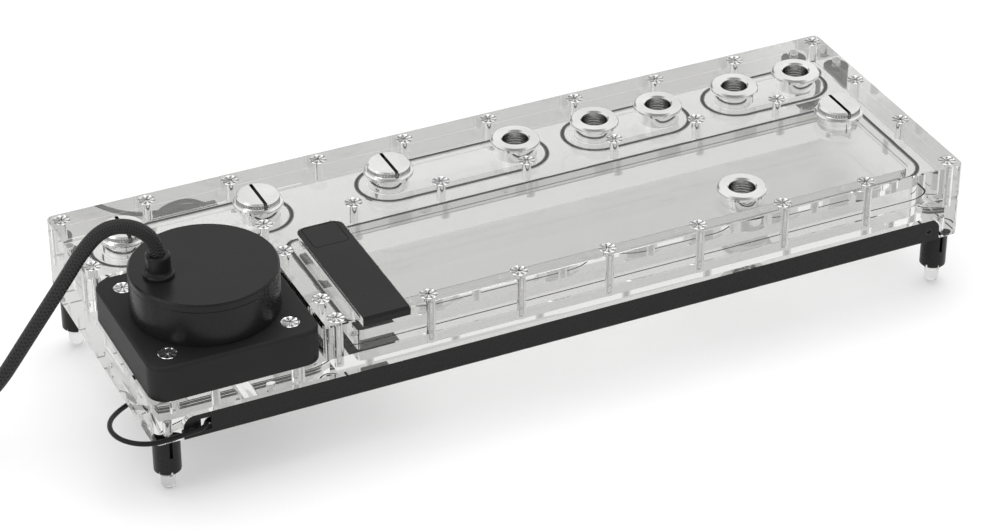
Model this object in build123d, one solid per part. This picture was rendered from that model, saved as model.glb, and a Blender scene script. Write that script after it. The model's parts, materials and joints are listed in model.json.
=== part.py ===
"""Water cooling distribution plate: two bolted acrylic layers with a milled reservoir and channels,
metal port inserts, stop plugs, a corner pump with its motor, a lit front rail, and four short legs.

Millimetres. Everything is drawn from the front left lower corner of the base layer: X runs along the
plate, Y runs to the back and Z up. The last step moves it so that the origin is on the floor, under
the middle of the plate.
"""
from build123d import *
from math import cos, pi, radians, sin, sqrt, tan
import os

# Driving dimensions of the two clear layers
plate_length = 390.0
base_thickness = 21.0
cover_thickness = 16.5
plate_corner_radius = 3.0
plate_edge_chamfer = 0.5
layer_gap = 0.05

# Screws that clamp the layers
screw_edge_margin = 5.6
screw_pump_offset = 7.0
screw_mid_row_offset = 9.8
screw_side_row_front = 21.6
screw_side_row_back_offset = 23.6
screw_bays_left = 3
screw_bays_right = 3
screw_middle_bay_extra = 1.9
screw_shank_radius = 2.0
screw_head_radius = 3.9
screw_land = 0.3
screw_length = 22.0
screw_hole_clearance = 0.1
screw_hole_spare_depth = 1.0
cross_slot_length = 4.6
cross_slot_width = 0.9
cross_slot_depth = 1.4

# Reservoir, its seal and the seals of the four short channels
reservoir_left_margin = 13.7
reservoir_right_margin = 13.0
reservoir_front = 9.8
reservoir_back_margin = 7.2
reservoir_left_radius = 5.0
reservoir_right_radius = 11.5
pocket_inset = 4.0
pocket_smallest_radius = 3.0
reservoir_floor = 10.5
cover_pocket_depth = 5.0
seal_width = 2.0
seal_groove_depth = 1.6
seal_edge_round = 0.45
groove_clearance = 0.1
channel_row_offset = 18.4
channel_row_margin = 28.0
channel_seal_radius = 14.7
channel_pocket_radius = 10.0
channel_depth = 8.0

# Ports
first_port_margin = 26.2
last_port_margin = 27.7
pair_pitch = 33.0
group_gap = 40.4
tank_port_inset = 14.2
fill_port_inset = 14.8
insert_flange_radius = 11.1
insert_flange_thickness = 3.2
insert_proud = 1.3
insert_body_radius = 9.3
insert_bore_radius = 5.9
insert_bore_chamfer = 0.8
insert_edge_chamfer = 0.8
insert_hex_across = 11.0
insert_hex_height = 3.0
insert_groove_width = 2.0
insert_groove_depth = 1.5
insert_groove_drop = 4.4
insert_clearance = 0.1
insert_reach = 2.0
counterbore_clearance = 0.25
ring_clearance = 0.02

# Stop plugs
plug_head_radius = 9.7
plug_head_thickness = 2.75
plug_head_chamfer = 0.8
plug_thread_radius = 5.8
plug_thread_length = 7.0
plug_slot_width = 1.6
plug_slot_depth = 1.5
plug_slot_length = 18.0
plug_ring_radius = 8.0
plug_ring_section = 0.6

# Pump in the front left corner
pump_inset = 1.0
pump_side = 76.0
pump_corner_radius = 8.0
pump_edge_chamfer = 1.0
pump_gap = 0.8
pump_screw_margin = 10.8
pump_screw_length = 26.0
pump_screw_head_radius = 4.2
pump_screw_land = 0.3
pump_seal_inset = 4.5
volute_radius = 26.0
volute_depth = 10.5
water_way_radius = 3.8
outlet_offset_x = 17.0
outlet_offset_y = 17.0
outlet_depth = 8.0
intake_radius = 8.0
water_way_height = 14.5
water_way_overrun = 1.0
cup_ledge_land = 1.0

# Motor on the pump
motor_radius = 32.0
motor_sleeve_wall = 2.5
motor_sleeve_height = 17.0
motor_cap_height = 3.5
motor_cap_chamfer = 0.8
motor_cap_lip = 1.2
motor_seam = 0.3
cup_centre_height = 12.0
cup_inner_radius = 17.5
cup_wall = 1.2
cup_flange_radius = 23.9
cup_flange_thickness = 3.0
core_clearance = 1.0
cup_dome_rise = 1.7
board_thickness = 1.6
board_hole_clearance = 1.7
ball_radius = 3.5
ball_clearance = 0.05
post_radius = 2.5
rotor_gap = 0.6
rotor_bore_radius = 3.9
rotor_hub_radius = 14.0
impeller_radius = 23.0
impeller_shroud = 1.1
impeller_eye_radius = 7.5
vane_height = 4.0
vane_thickness = 1.3
vane_count = 6
impeller_floor_gap = 1.0

# Cable gland on the motor and the braided pump cable
gland_margin = 12.2
gland_flange_radius = 6.7
gland_flange_height = 2.0
gland_flange_chamfer = 0.7
gland_collar_radius = 5.3
gland_collar_height = 8.4
gland_collar_foot = 0.4
gland_collar_foot_height = 1.2
gland_collar_chamfer = 0.6
pump_cable_radius = 3.25
pump_cable_heading = 22.0

# Inlaid cover bar and its blank badge
bar_left_margin = 3.5
bar_width = 21.5
bar_back_margin = 56.2
bar_thickness = 4.0
bar_drop = 0.2
bar_corner_radius = 5.0
bar_front_chamfer = 1.2
bar_clearance = 0.2
badge_side = 16.0
badge_back_margin = 1.3
badge_thickness = 1.0
badge_corner_radius = 1.5
badge_clearance = 0.25

# Front rail with the light strip behind it
rail_left = 13.2
rail_right_margin = 10.4
rail_height = 10.7
rail_face_thickness = 1.6
rail_flange_thickness = 1.4
rail_corner_radius = 5.0
rail_end_gap = 1.0
rail_gap = 0.2
rail_recess_depth = 4.8
rail_screw_inset = 5.2
rail_screw_height = 5.0
rail_screw_radius = 1.25
rail_screw_head_radius = 2.2
rail_screw_land = 0.2
rail_screw_length = 10.0
rail_opening_offset = 9.9
rail_opening_width = 4.6
rail_opening_height = 6.4
rail_opening_floor = 2.0
strip_end_gap = 16.0
strip_height = 7.0
strip_thickness = 0.8
lamp_side = 4.0
lamp_thickness = 1.2
lamp_pitch = 16.6

# Legs
leg_inset = 7.5
leg_radius = 6.0
leg_height = 18.0
leg_chamfer = 0.8
leg_slot_width = 1.4
leg_slot_height = 9.0
leg_slot_depth = 2.6
stud_radius = 2.0
stud_rise = 8.5
stud_drop = 10.0
stud_clearance = 0.05
foot_socket_radius = 4.1
foot_socket_depth = 3.5
foot_drop = 9.5
foot_neck_radius = 3.4
foot_cone_radius = 5.0
foot_cone_height = 2.4
foot_rib_count = 6
foot_rib_width = 1.2
foot_rib_height = 1.8
foot_clearance = 0.1

# Light cable
light_cable_radius = 1.1

# Sizes that follow
joint_height = base_thickness
cover_floor = joint_height + layer_gap
top_height = cover_floor + cover_thickness
ground_clearance = leg_height + foot_drop
pump_centre_x = pump_inset + pump_side / 2
pump_centre_y = pump_side / 2
pump_seal_radius = pump_side / 2 - pump_seal_inset
cutout_x = pump_inset + pump_side + pump_gap
cutout_y = pump_side + pump_gap
pump_side_column = cutout_x + screw_pump_offset
screw_mid_row = cutout_y + screw_mid_row_offset
channel_row = screw_mid_row + channel_row_offset
plate_width = channel_row + channel_row_margin
reservoir_left = cutout_x + reservoir_left_margin
reservoir_right = plate_length - reservoir_right_margin
reservoir_back = screw_mid_row - reservoir_back_margin
plug_pitch = (plate_length - first_port_margin - last_port_margin - 2 * pair_pitch - 2 * group_gap) / 3
bar_left = reservoir_left + bar_left_margin
bar_length = plate_width - bar_back_margin
rail_right = plate_length - rail_right_margin
cover_pocket_ceiling = cover_floor + cover_pocket_depth
insert_top = top_height + insert_proud
screw_bay_count = screw_bays_left + 1 + screw_bays_right
screw_run = plate_length - screw_edge_margin - pump_side_column - screw_middle_bay_extra
screw_bay = screw_run / screw_bay_count
bar_top = top_height - bar_drop
bar_floor = bar_top - bar_thickness
motor_floor = top_height
cap_floor = motor_floor + motor_sleeve_height
cap_top = cap_floor + motor_cap_height
cup_centre = cover_floor + cup_centre_height
cup_outer_radius = cup_inner_radius + cup_wall
core_radius = motor_radius - motor_sleeve_wall - core_clearance
core_top = cup_centre + cup_outer_radius - cup_dome_rise
board_hole_radius = sqrt(cup_outer_radius**2 - (core_top - cup_centre) ** 2) + board_hole_clearance


def box(x0, y0, z0, x1, y1, z1):
    """A block between two corners."""
    centre = Pos((x0 + x1) / 2, (y0 + y1) / 2, (z0 + z1) / 2)
    return centre * Box(x1 - x0, y1 - y0, z1 - z0)


def rod(x, y, z0, z1, radius):
    """An upright cylinder between two heights."""
    return Pos(x, y, (z0 + z1) / 2) * Cylinder(radius, z1 - z0)


def rounded_rectangle(x0, y0, x1, y1, left_radius, right_radius):
    """A flat rectangle whose left and right corners may be rounded differently."""
    flat = Pos((x0 + x1) / 2, (y0 + y1) / 2) * Rectangle(x1 - x0, y1 - y0)
    corners = flat.vertices().sort_by(Axis.X)
    flat = fillet(corners[0:2], left_radius)
    corners = flat.vertices().sort_by(Axis.X)
    return fillet(corners[-2:], right_radius)


def slab(flat, z0, z1):
    """A flat outline given a thickness between two heights."""
    return extrude(Pos(0, 0, z0) * flat, z1 - z0)


def stadium(x0, x1, y, radius):
    """A flat outline with round ends about two points."""
    return Pos((x0 + x1) / 2, y) * SlotCenterToCenter(x1 - x0, 2 * radius)


def turned(points, x, y):
    """A solid of revolution about an upright axis, from points given as radius and height."""
    profile = make_face(Polyline(*[(r, 0, z) for r, z in points], close=True))
    return Pos(x, y, 0) * revolve(profile, Axis.Z)


def ring_of_round_section(x, y, z, radius, section):
    """An O-ring."""
    return Pos(x, y, z) * Torus(radius, section)


# Places shared by the layers and what is fixed to them
right_column = plate_length - screw_edge_margin
screw_columns = [screw_edge_margin, (screw_edge_margin + pump_side_column) / 2]
screw_columns += [pump_side_column + i * screw_bay for i in range(screw_bays_left + 1)]
screw_columns += [right_column - i * screw_bay for i in range(screw_bays_right, -1, -1)]
pump_side_rows = (screw_side_row_front, screw_mid_row - screw_side_row_back_offset)
right_side_row = (screw_edge_margin + screw_mid_row) / 2
plate_screw_places = [(x, plate_width - screw_edge_margin) for x in screw_columns]
plate_screw_places += [(x, screw_mid_row) for x in screw_columns]
plate_screw_places += [(x, screw_edge_margin) for x in screw_columns[2:]]
plate_screw_places += [(pump_side_column, y) for y in pump_side_rows]
plate_screw_places += [(right_column, right_side_row)]

last_port = plate_length - last_port_margin
channel_ends = [
    (first_port_margin, first_port_margin + plug_pitch),
    (first_port_margin + 2 * plug_pitch, first_port_margin + 3 * plug_pitch),
    (last_port - 2 * pair_pitch - group_gap, last_port - pair_pitch - group_gap),
    (last_port - pair_pitch, last_port),
]
row_ports = [(x, channel_row) for ends in channel_ends for x in ends]
tank_port = (channel_ends[2][1], reservoir_front + tank_port_inset)
fill_port = (channel_ends[3][1], reservoir_back - fill_port_inset)
ports = row_ports + [tank_port, fill_port]
reservoir_ports = (tank_port, fill_port)
plugged_ports = [row_ports[0], row_ports[1], row_ports[2], fill_port]

pump_screw_reach = pump_side / 2 - pump_screw_margin
pump_screw_places = [
    (pump_centre_x + i * pump_screw_reach, pump_centre_y + j * pump_screw_reach)
    for i in (-1, 1)
    for j in (-1, 1)
]
outlet_x = pump_centre_x + outlet_offset_x
outlet_y = pump_centre_y + outlet_offset_y
gland_x = pump_centre_x - motor_radius + gland_margin
leg_places = {
    "front_left": (leg_inset, leg_inset),
    "front_right": (plate_length - leg_inset, leg_inset),
    "back_left": (leg_inset, plate_width - leg_inset),
    "back_right": (plate_length - leg_inset, plate_width - leg_inset),
}
rail_screw_places = [rail_left + rail_screw_inset, rail_right - rail_screw_inset]


def plate_outline():
    """The rectangle that both layers share."""
    return rounded_rectangle(0, 0, plate_length, plate_width, plate_corner_radius, plate_corner_radius)


def reservoir_pocket_outline():
    """The milled pocket, set in from its seal."""
    return rounded_rectangle(
        reservoir_left + pocket_inset,
        reservoir_front + pocket_inset,
        reservoir_right - pocket_inset,
        reservoir_back - pocket_inset,
        max(reservoir_left_radius - pocket_inset, pocket_smallest_radius),
        reservoir_right_radius - pocket_inset,
    )


def reservoir_ring(extra):
    """The closed band that the reservoir's seal follows, widened by a clearance on each side."""
    half = seal_width / 2 + extra
    outer = rounded_rectangle(
        reservoir_left - half,
        reservoir_front - half,
        reservoir_right + half,
        reservoir_back + half,
        reservoir_left_radius + half,
        reservoir_right_radius + half,
    )
    inner = rounded_rectangle(
        reservoir_left + half,
        reservoir_front + half,
        reservoir_right - half,
        reservoir_back - half,
        reservoir_left_radius - half,
        reservoir_right_radius - half,
    )
    return outer - inner


def channel_ring(ends, extra):
    """The closed band that a channel's seal follows."""
    half = seal_width / 2 + extra
    outer = stadium(ends[0], ends[1], channel_row, channel_seal_radius + half)
    return outer - stadium(ends[0], ends[1], channel_row, channel_seal_radius - half)


def pump_ring(extra):
    """The round band of the pump's seal."""
    half = seal_width / 2 + extra
    outer = Circle(pump_seal_radius + half) - Circle(pump_seal_radius - half)
    return Pos(pump_centre_x, pump_centre_y) * outer


def seal_from(band):
    """A seal cord that fills its groove and bridges the gap that it keeps between the layers."""
    cord = slab(band, joint_height - seal_groove_depth, cover_floor)
    long_edges = cord.faces().sort_by(Axis.Z)[-1].edges() + cord.faces().sort_by(Axis.Z)[0].edges()
    return fillet(long_edges, seal_edge_round)


def rail_outline(x0, x1, height, radius):
    """The rail seen from the front: flat at the bottom, with rounded upper corners."""
    flat = Pos((x0 + x1) / 2, height / 2) * Rectangle(x1 - x0, height)
    upper = flat.vertices().sort_by(Axis.Y)[-2:]
    return fillet(upper, radius)


def front_slab(flat, y0, y1):
    """A front view outline given a depth towards the back."""
    return extrude(Plane.XZ.offset(-y0) * flat, -(y1 - y0))


# The lower clear layer
def make_base_plate():
    plate = slab(plate_outline(), 0, base_thickness)
    plate = chamfer(plate.faces().sort_by(Axis.Z)[0].edges(), plate_edge_chamfer)
    plate -= slab(reservoir_pocket_outline(), reservoir_floor, joint_height)
    plate -= slab(reservoir_ring(groove_clearance), joint_height - seal_groove_depth, joint_height)
    for ends in channel_ends:
        pocket = stadium(ends[0], ends[1], channel_row, channel_pocket_radius)
        plate -= slab(pocket, joint_height - channel_depth, joint_height)
        plate -= slab(channel_ring(ends, groove_clearance), joint_height - seal_groove_depth, joint_height)
    plate -= slab(pump_ring(groove_clearance), joint_height - seal_groove_depth, joint_height)
    plate -= rod(pump_centre_x, pump_centre_y, reservoir_floor, joint_height, intake_radius)
    plate -= rod(outlet_x, outlet_y, water_way_height, joint_height, water_way_radius)
    intake_end = reservoir_left + pocket_inset + water_way_overrun
    way = Circle(water_way_radius)
    intake_run = Plane.YZ.offset(pump_centre_x) * Pos(pump_centre_y, water_way_height) * way
    plate -= extrude(intake_run, intake_end - pump_centre_x)
    outlet_end = channel_row - channel_pocket_radius + water_way_overrun
    outlet_run = Plane.XZ.offset(-outlet_y) * Pos(outlet_x, water_way_height) * way
    plate -= extrude(outlet_run, -(outlet_end - outlet_y))
    hole_floor = top_height - screw_length - screw_hole_spare_depth
    for x, y in plate_screw_places:
        plate -= rod(x, y, hole_floor, joint_height, screw_shank_radius + screw_hole_clearance)
    hole_floor = top_height - pump_screw_length - screw_hole_spare_depth
    for x, y in pump_screw_places:
        plate -= rod(x, y, hole_floor, joint_height, screw_shank_radius + screw_hole_clearance)
    for x, y in leg_places.values():
        plate -= rod(x, y, 0, stud_rise, stud_radius + stud_clearance)
    recess = rail_outline(
        rail_left - rail_gap,
        rail_right + rail_end_gap,
        rail_height + rail_gap,
        rail_corner_radius + rail_gap,
    )
    plate -= front_slab(recess, 0, rail_recess_depth)
    for x in rail_screw_places:
        hole = Plane.XZ * Pos(x, rail_screw_height) * Circle(rail_screw_radius + screw_hole_clearance)
        plate -= extrude(hole, -(rail_screw_length + screw_hole_spare_depth))
    return plate


# The upper clear layer, cut away round the pump
def make_top_plate():
    flat = plate_outline()
    flat -= Pos(cutout_x / 2, cutout_y / 2) * Rectangle(cutout_x, cutout_y)
    inner_corner = flat.vertices().sort_by_distance((cutout_x, cutout_y, 0))[0]
    flat = fillet(inner_corner, pump_corner_radius)
    plate = slab(flat, cover_floor, top_height)
    plate = chamfer(plate.faces().sort_by(Axis.Z)[-1].edges(), plate_edge_chamfer)
    plate -= slab(reservoir_pocket_outline(), cover_floor, cover_pocket_ceiling)
    for x, y in ports:
        counterbore = insert_flange_radius + counterbore_clearance
        counterbore_floor = insert_top - insert_flange_thickness
        plate -= rod(x, y, counterbore_floor, top_height, counterbore)
        plate -= rod(x, y, cover_floor, top_height, insert_body_radius + insert_clearance)
    sink = countersink(screw_shank_radius, screw_head_radius, screw_land, cover_thickness)
    for x, y in plate_screw_places:
        plate -= Pos(x, y, top_height) * sink
    recess = rounded_bar(bar_clearance)
    plate -= slab(recess, bar_floor, top_height)
    return plate


def rounded_bar(extra):
    """The bar's outline: square at the front, where it ends flush, and rounded at the back."""
    x0 = bar_left - extra
    x1 = bar_left + bar_width + extra
    y1 = bar_length + extra
    flat = Pos((x0 + x1) / 2, y1 / 2) * Rectangle(x1 - x0, y1)
    back = flat.vertices().sort_by(Axis.Y)[-2:]
    return fillet(back, bar_corner_radius + extra)


def countersunk_screw(radius, head_radius, land, length):
    """A screw that hangs down from the origin, with a cross in its head."""
    body = turned(
        [
            (0, 0),
            (head_radius, 0),
            (head_radius, -land),
            (radius, -land - head_radius + radius),
            (radius, -length + radius / 2),
            (radius / 2, -length),
            (0, -length),
        ],
        0,
        0,
    )
    share = head_radius / screw_head_radius
    depth = cross_slot_depth * share
    arm = Pos(0, 0, -depth / 2) * Box(cross_slot_length * share, cross_slot_width * share, depth)
    return body - arm - Rot(0, 0, 90) * arm


def countersink(radius, head_radius, land, depth):
    """The hole for such a screw, whose cone the head sits on."""
    head = head_radius + screw_hole_clearance
    shank = radius + screw_hole_clearance
    cone_foot = land + head_radius
    return turned(
        [
            (0, 0),
            (head, 0),
            (head, head - cone_foot),
            (shank, shank - cone_foot),
            (shank, -depth),
            (0, -depth),
        ],
        0,
        0,
    )


def make_plate_screws():
    screw = countersunk_screw(screw_shank_radius, screw_head_radius, screw_land, screw_length)
    return [Pos(x, y, top_height) * screw for x, y in plate_screw_places]


# Metal inserts that line the ports
def insert_floor(place):
    """Inserts over the reservoir reach a little into it, and the others go down to the joint."""
    return cover_pocket_ceiling - insert_reach if place in reservoir_ports else cover_floor


def make_insert(place):
    floor = insert_floor(place)
    flange_floor = insert_top - insert_flange_thickness
    groove_top = flange_floor - insert_groove_drop + insert_groove_width / 2
    groove_floor = groove_top - insert_groove_width
    groove_radius = insert_body_radius - insert_groove_depth
    solid = turned(
        [
            (insert_bore_radius, floor),
            (insert_body_radius, floor),
            (insert_body_radius, groove_floor),
            (groove_radius, groove_floor),
            (groove_radius, groove_top),
            (insert_body_radius, groove_top),
            (insert_body_radius, flange_floor),
            (insert_flange_radius, flange_floor),
            (insert_flange_radius, insert_top - insert_edge_chamfer),
            (insert_flange_radius - insert_edge_chamfer, insert_top),
            (insert_bore_radius + insert_bore_chamfer, insert_top),
            (insert_bore_radius, insert_top - insert_bore_chamfer),
        ],
        *place,
    )
    key = RegularPolygon(insert_hex_across / 2, 6, major_radius=False)
    return solid - Pos(place[0], place[1], 0) * slab(key, floor, floor + insert_hex_height)


def make_insert_seals():
    groove_middle = insert_top - insert_flange_thickness - insert_groove_drop
    section = (insert_groove_depth + insert_clearance) / 2 - ring_clearance
    radius = insert_body_radius + insert_clearance - section - ring_clearance
    return [ring_of_round_section(x, y, groove_middle, radius, section) for x, y in ports]


# Slotted plugs that close four of the ports
def make_plug(place):
    head_floor = insert_top
    head_top = insert_top + plug_head_thickness
    groove = plug_ring_section + ring_clearance
    solid = turned(
        [
            (0, head_floor - plug_thread_length),
            (plug_thread_radius - plug_head_chamfer, head_floor - plug_thread_length),
            (plug_thread_radius, head_floor - plug_thread_length + plug_head_chamfer),
            (plug_thread_radius, head_floor),
            (plug_ring_radius - groove, head_floor),
            (plug_ring_radius - groove, head_floor + 2 * plug_ring_section),
            (plug_ring_radius + groove, head_floor + 2 * plug_ring_section),
            (plug_ring_radius + groove, head_floor),
            (plug_head_radius, head_floor),
            (plug_head_radius, head_top - plug_head_chamfer),
            (plug_head_radius - plug_head_chamfer, head_top),
            (0, head_top),
        ],
        *place,
    )
    slot = Box(plug_slot_width, plug_slot_length, plug_slot_depth)
    return solid - Pos(place[0], place[1], head_top - plug_slot_depth / 2) * slot


def make_plug_seal(place):
    return ring_of_round_section(
        place[0],
        place[1],
        insert_top + plug_ring_section,
        plug_ring_radius,
        plug_ring_section - ring_clearance,
    )


# Pump housing, whose open underside seals on the base layer
def make_pump_body():
    flat = Pos(pump_centre_x, pump_centre_y) * RectangleRounded(pump_side, pump_side, pump_corner_radius)
    body = slab(flat, cover_floor, top_height)
    body = chamfer(body.faces().sort_by(Axis.Z)[-1].edges(), pump_edge_chamfer)
    volute_top = cover_floor + volute_depth
    body -= rod(pump_centre_x, pump_centre_y, cover_floor, volute_top, volute_radius)
    body -= rod(pump_centre_x, pump_centre_y, volute_top, top_height, cup_flange_radius + ring_clearance)
    body -= rod(outlet_x, outlet_y, cover_floor, cover_floor + outlet_depth, water_way_radius)
    ledge_floor = volute_top
    ledge_top = top_height - cup_flange_thickness
    ledge = rod(pump_centre_x, pump_centre_y, ledge_floor, ledge_top, cup_flange_radius + cup_ledge_land)
    ledge_mouth = cup_outer_radius + cup_ledge_land
    ledge -= rod(pump_centre_x, pump_centre_y, ledge_floor, ledge_top, ledge_mouth)
    body += ledge
    sink = countersink(screw_shank_radius, pump_screw_head_radius, pump_screw_land, cover_thickness)
    for x, y in pump_screw_places:
        body -= Pos(x, y, top_height) * sink
    return body


def make_pump_screws():
    screw = countersunk_screw(
        screw_shank_radius, pump_screw_head_radius, pump_screw_land, pump_screw_length
    )
    return [Pos(x, y, top_height) * screw for x, y in pump_screw_places]


# Motor: sleeve, cap, wound core, drive board and the cup that keeps the water out
def make_motor_sleeve():
    inner_radius = motor_radius - motor_sleeve_wall
    return turned(
        [
            (inner_radius, motor_floor),
            (motor_radius, motor_floor),
            (motor_radius, cap_floor - motor_seam),
            (motor_radius - motor_seam, cap_floor),
            (inner_radius, cap_floor),
        ],
        pump_centre_x,
        pump_centre_y,
    )


def make_motor_cap():
    lip_radius = motor_radius - motor_sleeve_wall - ring_clearance
    cap = turned(
        [
            (0, cap_floor),
            (lip_radius - motor_cap_lip, cap_floor),
            (lip_radius - motor_cap_lip, cap_floor - motor_cap_lip),
            (lip_radius, cap_floor - motor_cap_lip),
            (lip_radius, cap_floor),
            (motor_radius, cap_floor),
            (motor_radius, cap_top - motor_cap_chamfer),
            (motor_radius - motor_cap_chamfer, cap_top),
            (0, cap_top),
        ],
        pump_centre_x,
        pump_centre_y,
    )
    return cap - rod(gland_x, pump_centre_y, cap_floor, cap_top, pump_cable_radius)


def make_stator_cup():
    flange_floor = top_height - cup_flange_thickness
    flange = rod(pump_centre_x, pump_centre_y, flange_floor, top_height, cup_flange_radius)
    dome = Pos(pump_centre_x, pump_centre_y, cup_centre) * Sphere(cup_outer_radius)
    below = box(
        pump_centre_x - cup_outer_radius,
        pump_centre_y - cup_outer_radius,
        cup_centre - cup_outer_radius,
        pump_centre_x + cup_outer_radius,
        pump_centre_y + cup_outer_radius,
        flange_floor,
    )
    cup = flange + (dome - below)
    cup -= Pos(pump_centre_x, pump_centre_y, cup_centre) * Sphere(cup_inner_radius)
    post_top = cup_centre + cup_inner_radius + cup_wall / 2
    post = rod(pump_centre_x, pump_centre_y, cup_centre, post_top, post_radius)
    post -= Pos(pump_centre_x, pump_centre_y, cup_centre) * Sphere(ball_radius)
    return cup + post


def make_motor_core():
    core = rod(pump_centre_x, pump_centre_y, top_height, core_top, core_radius)
    return core - Pos(pump_centre_x, pump_centre_y, cup_centre) * Sphere(cup_outer_radius + ring_clearance)


def make_drive_board():
    board_top = core_top + board_thickness
    board = rod(pump_centre_x, pump_centre_y, core_top, board_top, core_radius)
    return board - rod(pump_centre_x, pump_centre_y, core_top, board_top, board_hole_radius)


def make_bearing_ball():
    return Pos(pump_centre_x, pump_centre_y, cup_centre) * Sphere(ball_radius)


def make_rotor():
    """Magnet dome, hub and shrouded impeller in one, hung under the ball on the cup's post."""
    vane_floor = joint_height + impeller_floor_gap + impeller_shroud
    vane_top = vane_floor + vane_height
    hub_floor = vane_top + impeller_shroud
    dome_radius = cup_inner_radius - rotor_gap
    dome = Sphere(dome_radius)
    dome -= Pos(0, 0, -dome_radius) * Box(2 * dome_radius, 2 * dome_radius, 2 * dome_radius)
    rotor = Pos(0, 0, cup_centre) * dome
    rotor += rod(0, 0, hub_floor, cup_centre, rotor_hub_radius)
    rotor += rod(0, 0, vane_top, hub_floor, impeller_radius)
    lower = rod(0, 0, vane_floor - impeller_shroud, vane_floor, impeller_radius)
    lower -= rod(0, 0, vane_floor - impeller_shroud, vane_floor, impeller_eye_radius)
    rotor += lower
    vane = vane_outline()
    for i in range(vane_count):
        rotor += slab(Rot(0, 0, i * 360 / vane_count) * vane, vane_floor, vane_top)
    rotor -= rod(0, 0, cup_centre, cup_centre + dome_radius, rotor_bore_radius)
    rotor -= Pos(0, 0, cup_centre) * Sphere(ball_radius + ball_clearance)
    return Pos(pump_centre_x, pump_centre_y, 0) * rotor


def vane_outline():
    """One backward curved vane as a band of even thickness between two arcs."""
    start = (impeller_eye_radius + vane_thickness, 0)
    sweep_angle = radians(50)
    tip_radius = impeller_radius - vane_thickness / 4
    tip = (tip_radius * cos(sweep_angle), -tip_radius * sin(sweep_angle))
    middle_radius = (start[0] + tip_radius) / 2
    middle_angle = sweep_angle * 0.36
    middle = (middle_radius * cos(middle_angle), -middle_radius * sin(middle_angle))
    spine = ThreePointArc(start, middle, tip)
    return trace(spine, vane_thickness)


# Gland that the pump cable comes out of
def make_cable_gland():
    flange_top = cap_top + gland_flange_height
    collar_top = flange_top + gland_collar_height
    return turned(
        [
            (pump_cable_radius, cap_top),
            (gland_flange_radius, cap_top),
            (gland_flange_radius, flange_top - gland_flange_chamfer),
            (gland_flange_radius - gland_flange_chamfer, flange_top),
            (gland_collar_radius + gland_collar_foot, flange_top),
            (gland_collar_radius, flange_top + gland_collar_foot_height),
            (gland_collar_radius, collar_top - gland_collar_chamfer),
            (gland_collar_radius - gland_collar_chamfer, collar_top),
            (pump_cable_radius, collar_top),
        ],
        gland_x,
        pump_centre_y,
    )


# Bar inlaid in the upper layer
def make_cover_bar():
    bar = slab(rounded_bar(0), bar_floor, bar_top)
    top_face = bar.faces().sort_by(Axis.Z)[-1]
    front_edge = top_face.edges().sort_by(Axis.Y)[0]
    bar = chamfer(front_edge, bar_front_chamfer)
    badge = badge_outline(badge_clearance)
    return bar - slab(badge, bar_top - badge_thickness, bar_top)


def badge_outline(extra):
    side = badge_side + 2 * extra
    middle_x = bar_left + bar_width / 2
    middle_y = bar_length - badge_back_margin - badge_side / 2
    return Pos(middle_x, middle_y) * RectangleRounded(side, side, badge_corner_radius + extra)


def make_badge():
    return slab(badge_outline(0), bar_top - badge_thickness, bar_top)


# Rail along the front of the base layer
def make_front_rail():
    face = rail_outline(rail_left, rail_right, rail_height, rail_corner_radius)
    rail = front_slab(face, 0, rail_face_thickness)
    rail += box(rail_left, 0, 0, rail_right, rail_recess_depth, rail_flange_thickness)
    opening_left = rail_left + rail_opening_offset - rail_opening_width / 2
    rail -= box(
        opening_left,
        0,
        rail_opening_floor,
        opening_left + rail_opening_width,
        rail_face_thickness,
        rail_opening_floor + rail_opening_height,
    )
    sink = countersink(rail_screw_radius, rail_screw_head_radius, rail_screw_land, rail_face_thickness)
    for x in rail_screw_places:
        rail -= Pos(x, 0, rail_screw_height) * Rot(90, 0, 0) * sink
    return rail


def make_rail_screws():
    screw = countersunk_screw(
        rail_screw_radius, rail_screw_head_radius, rail_screw_land, rail_screw_length
    )
    return [Pos(x, 0, rail_screw_height) * Rot(90, 0, 0) * screw for x in rail_screw_places]


def make_light_strip():
    strip_left = rail_left + strip_end_gap
    strip_right = rail_right - strip_end_gap
    strip_back = rail_face_thickness + strip_thickness
    strip_top = rail_flange_thickness + strip_height
    strip = box(strip_left, rail_face_thickness, rail_flange_thickness, strip_right, strip_back, strip_top)
    count = int((strip_right - strip_left - lamp_side) // lamp_pitch) + 1
    first = (strip_left + strip_right - (count - 1) * lamp_pitch) / 2
    middle = rail_flange_thickness + strip_height / 2
    for i in range(count):
        x = first + i * lamp_pitch
        strip += box(
            x - lamp_side / 2,
            strip_back,
            middle - lamp_side / 2,
            x + lamp_side / 2,
            strip_back + lamp_thickness,
            middle + lamp_side / 2,
        )
    return strip


# Legs with their studs and soft feet
def make_leg(place):
    leg = Pos(0, 0, -leg_height / 2) * Cylinder(leg_radius, leg_height)
    leg = chamfer(leg.faces().sort_by(Axis.Z)[0].edges(), leg_chamfer)
    leg -= rod(0, 0, -stud_drop, 0, stud_radius + stud_clearance)
    slot_front = -leg_radius
    leg -= box(
        -leg_slot_width / 2,
        slot_front,
        -leg_slot_height,
        leg_slot_width / 2,
        slot_front + leg_slot_depth,
        0,
    )
    leg -= rod(0, 0, -leg_height, -leg_height + foot_socket_depth, foot_socket_radius)
    for i in range(foot_rib_count):
        notch = box(
            0,
            -foot_rib_width / 2,
            -leg_height,
            leg_radius,
            foot_rib_width / 2,
            foot_rib_height - leg_height,
        )
        leg -= Rot(0, 0, 30 + i * 360 / foot_rib_count) * notch
    return Pos(place[0], place[1], 0) * leg


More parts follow.
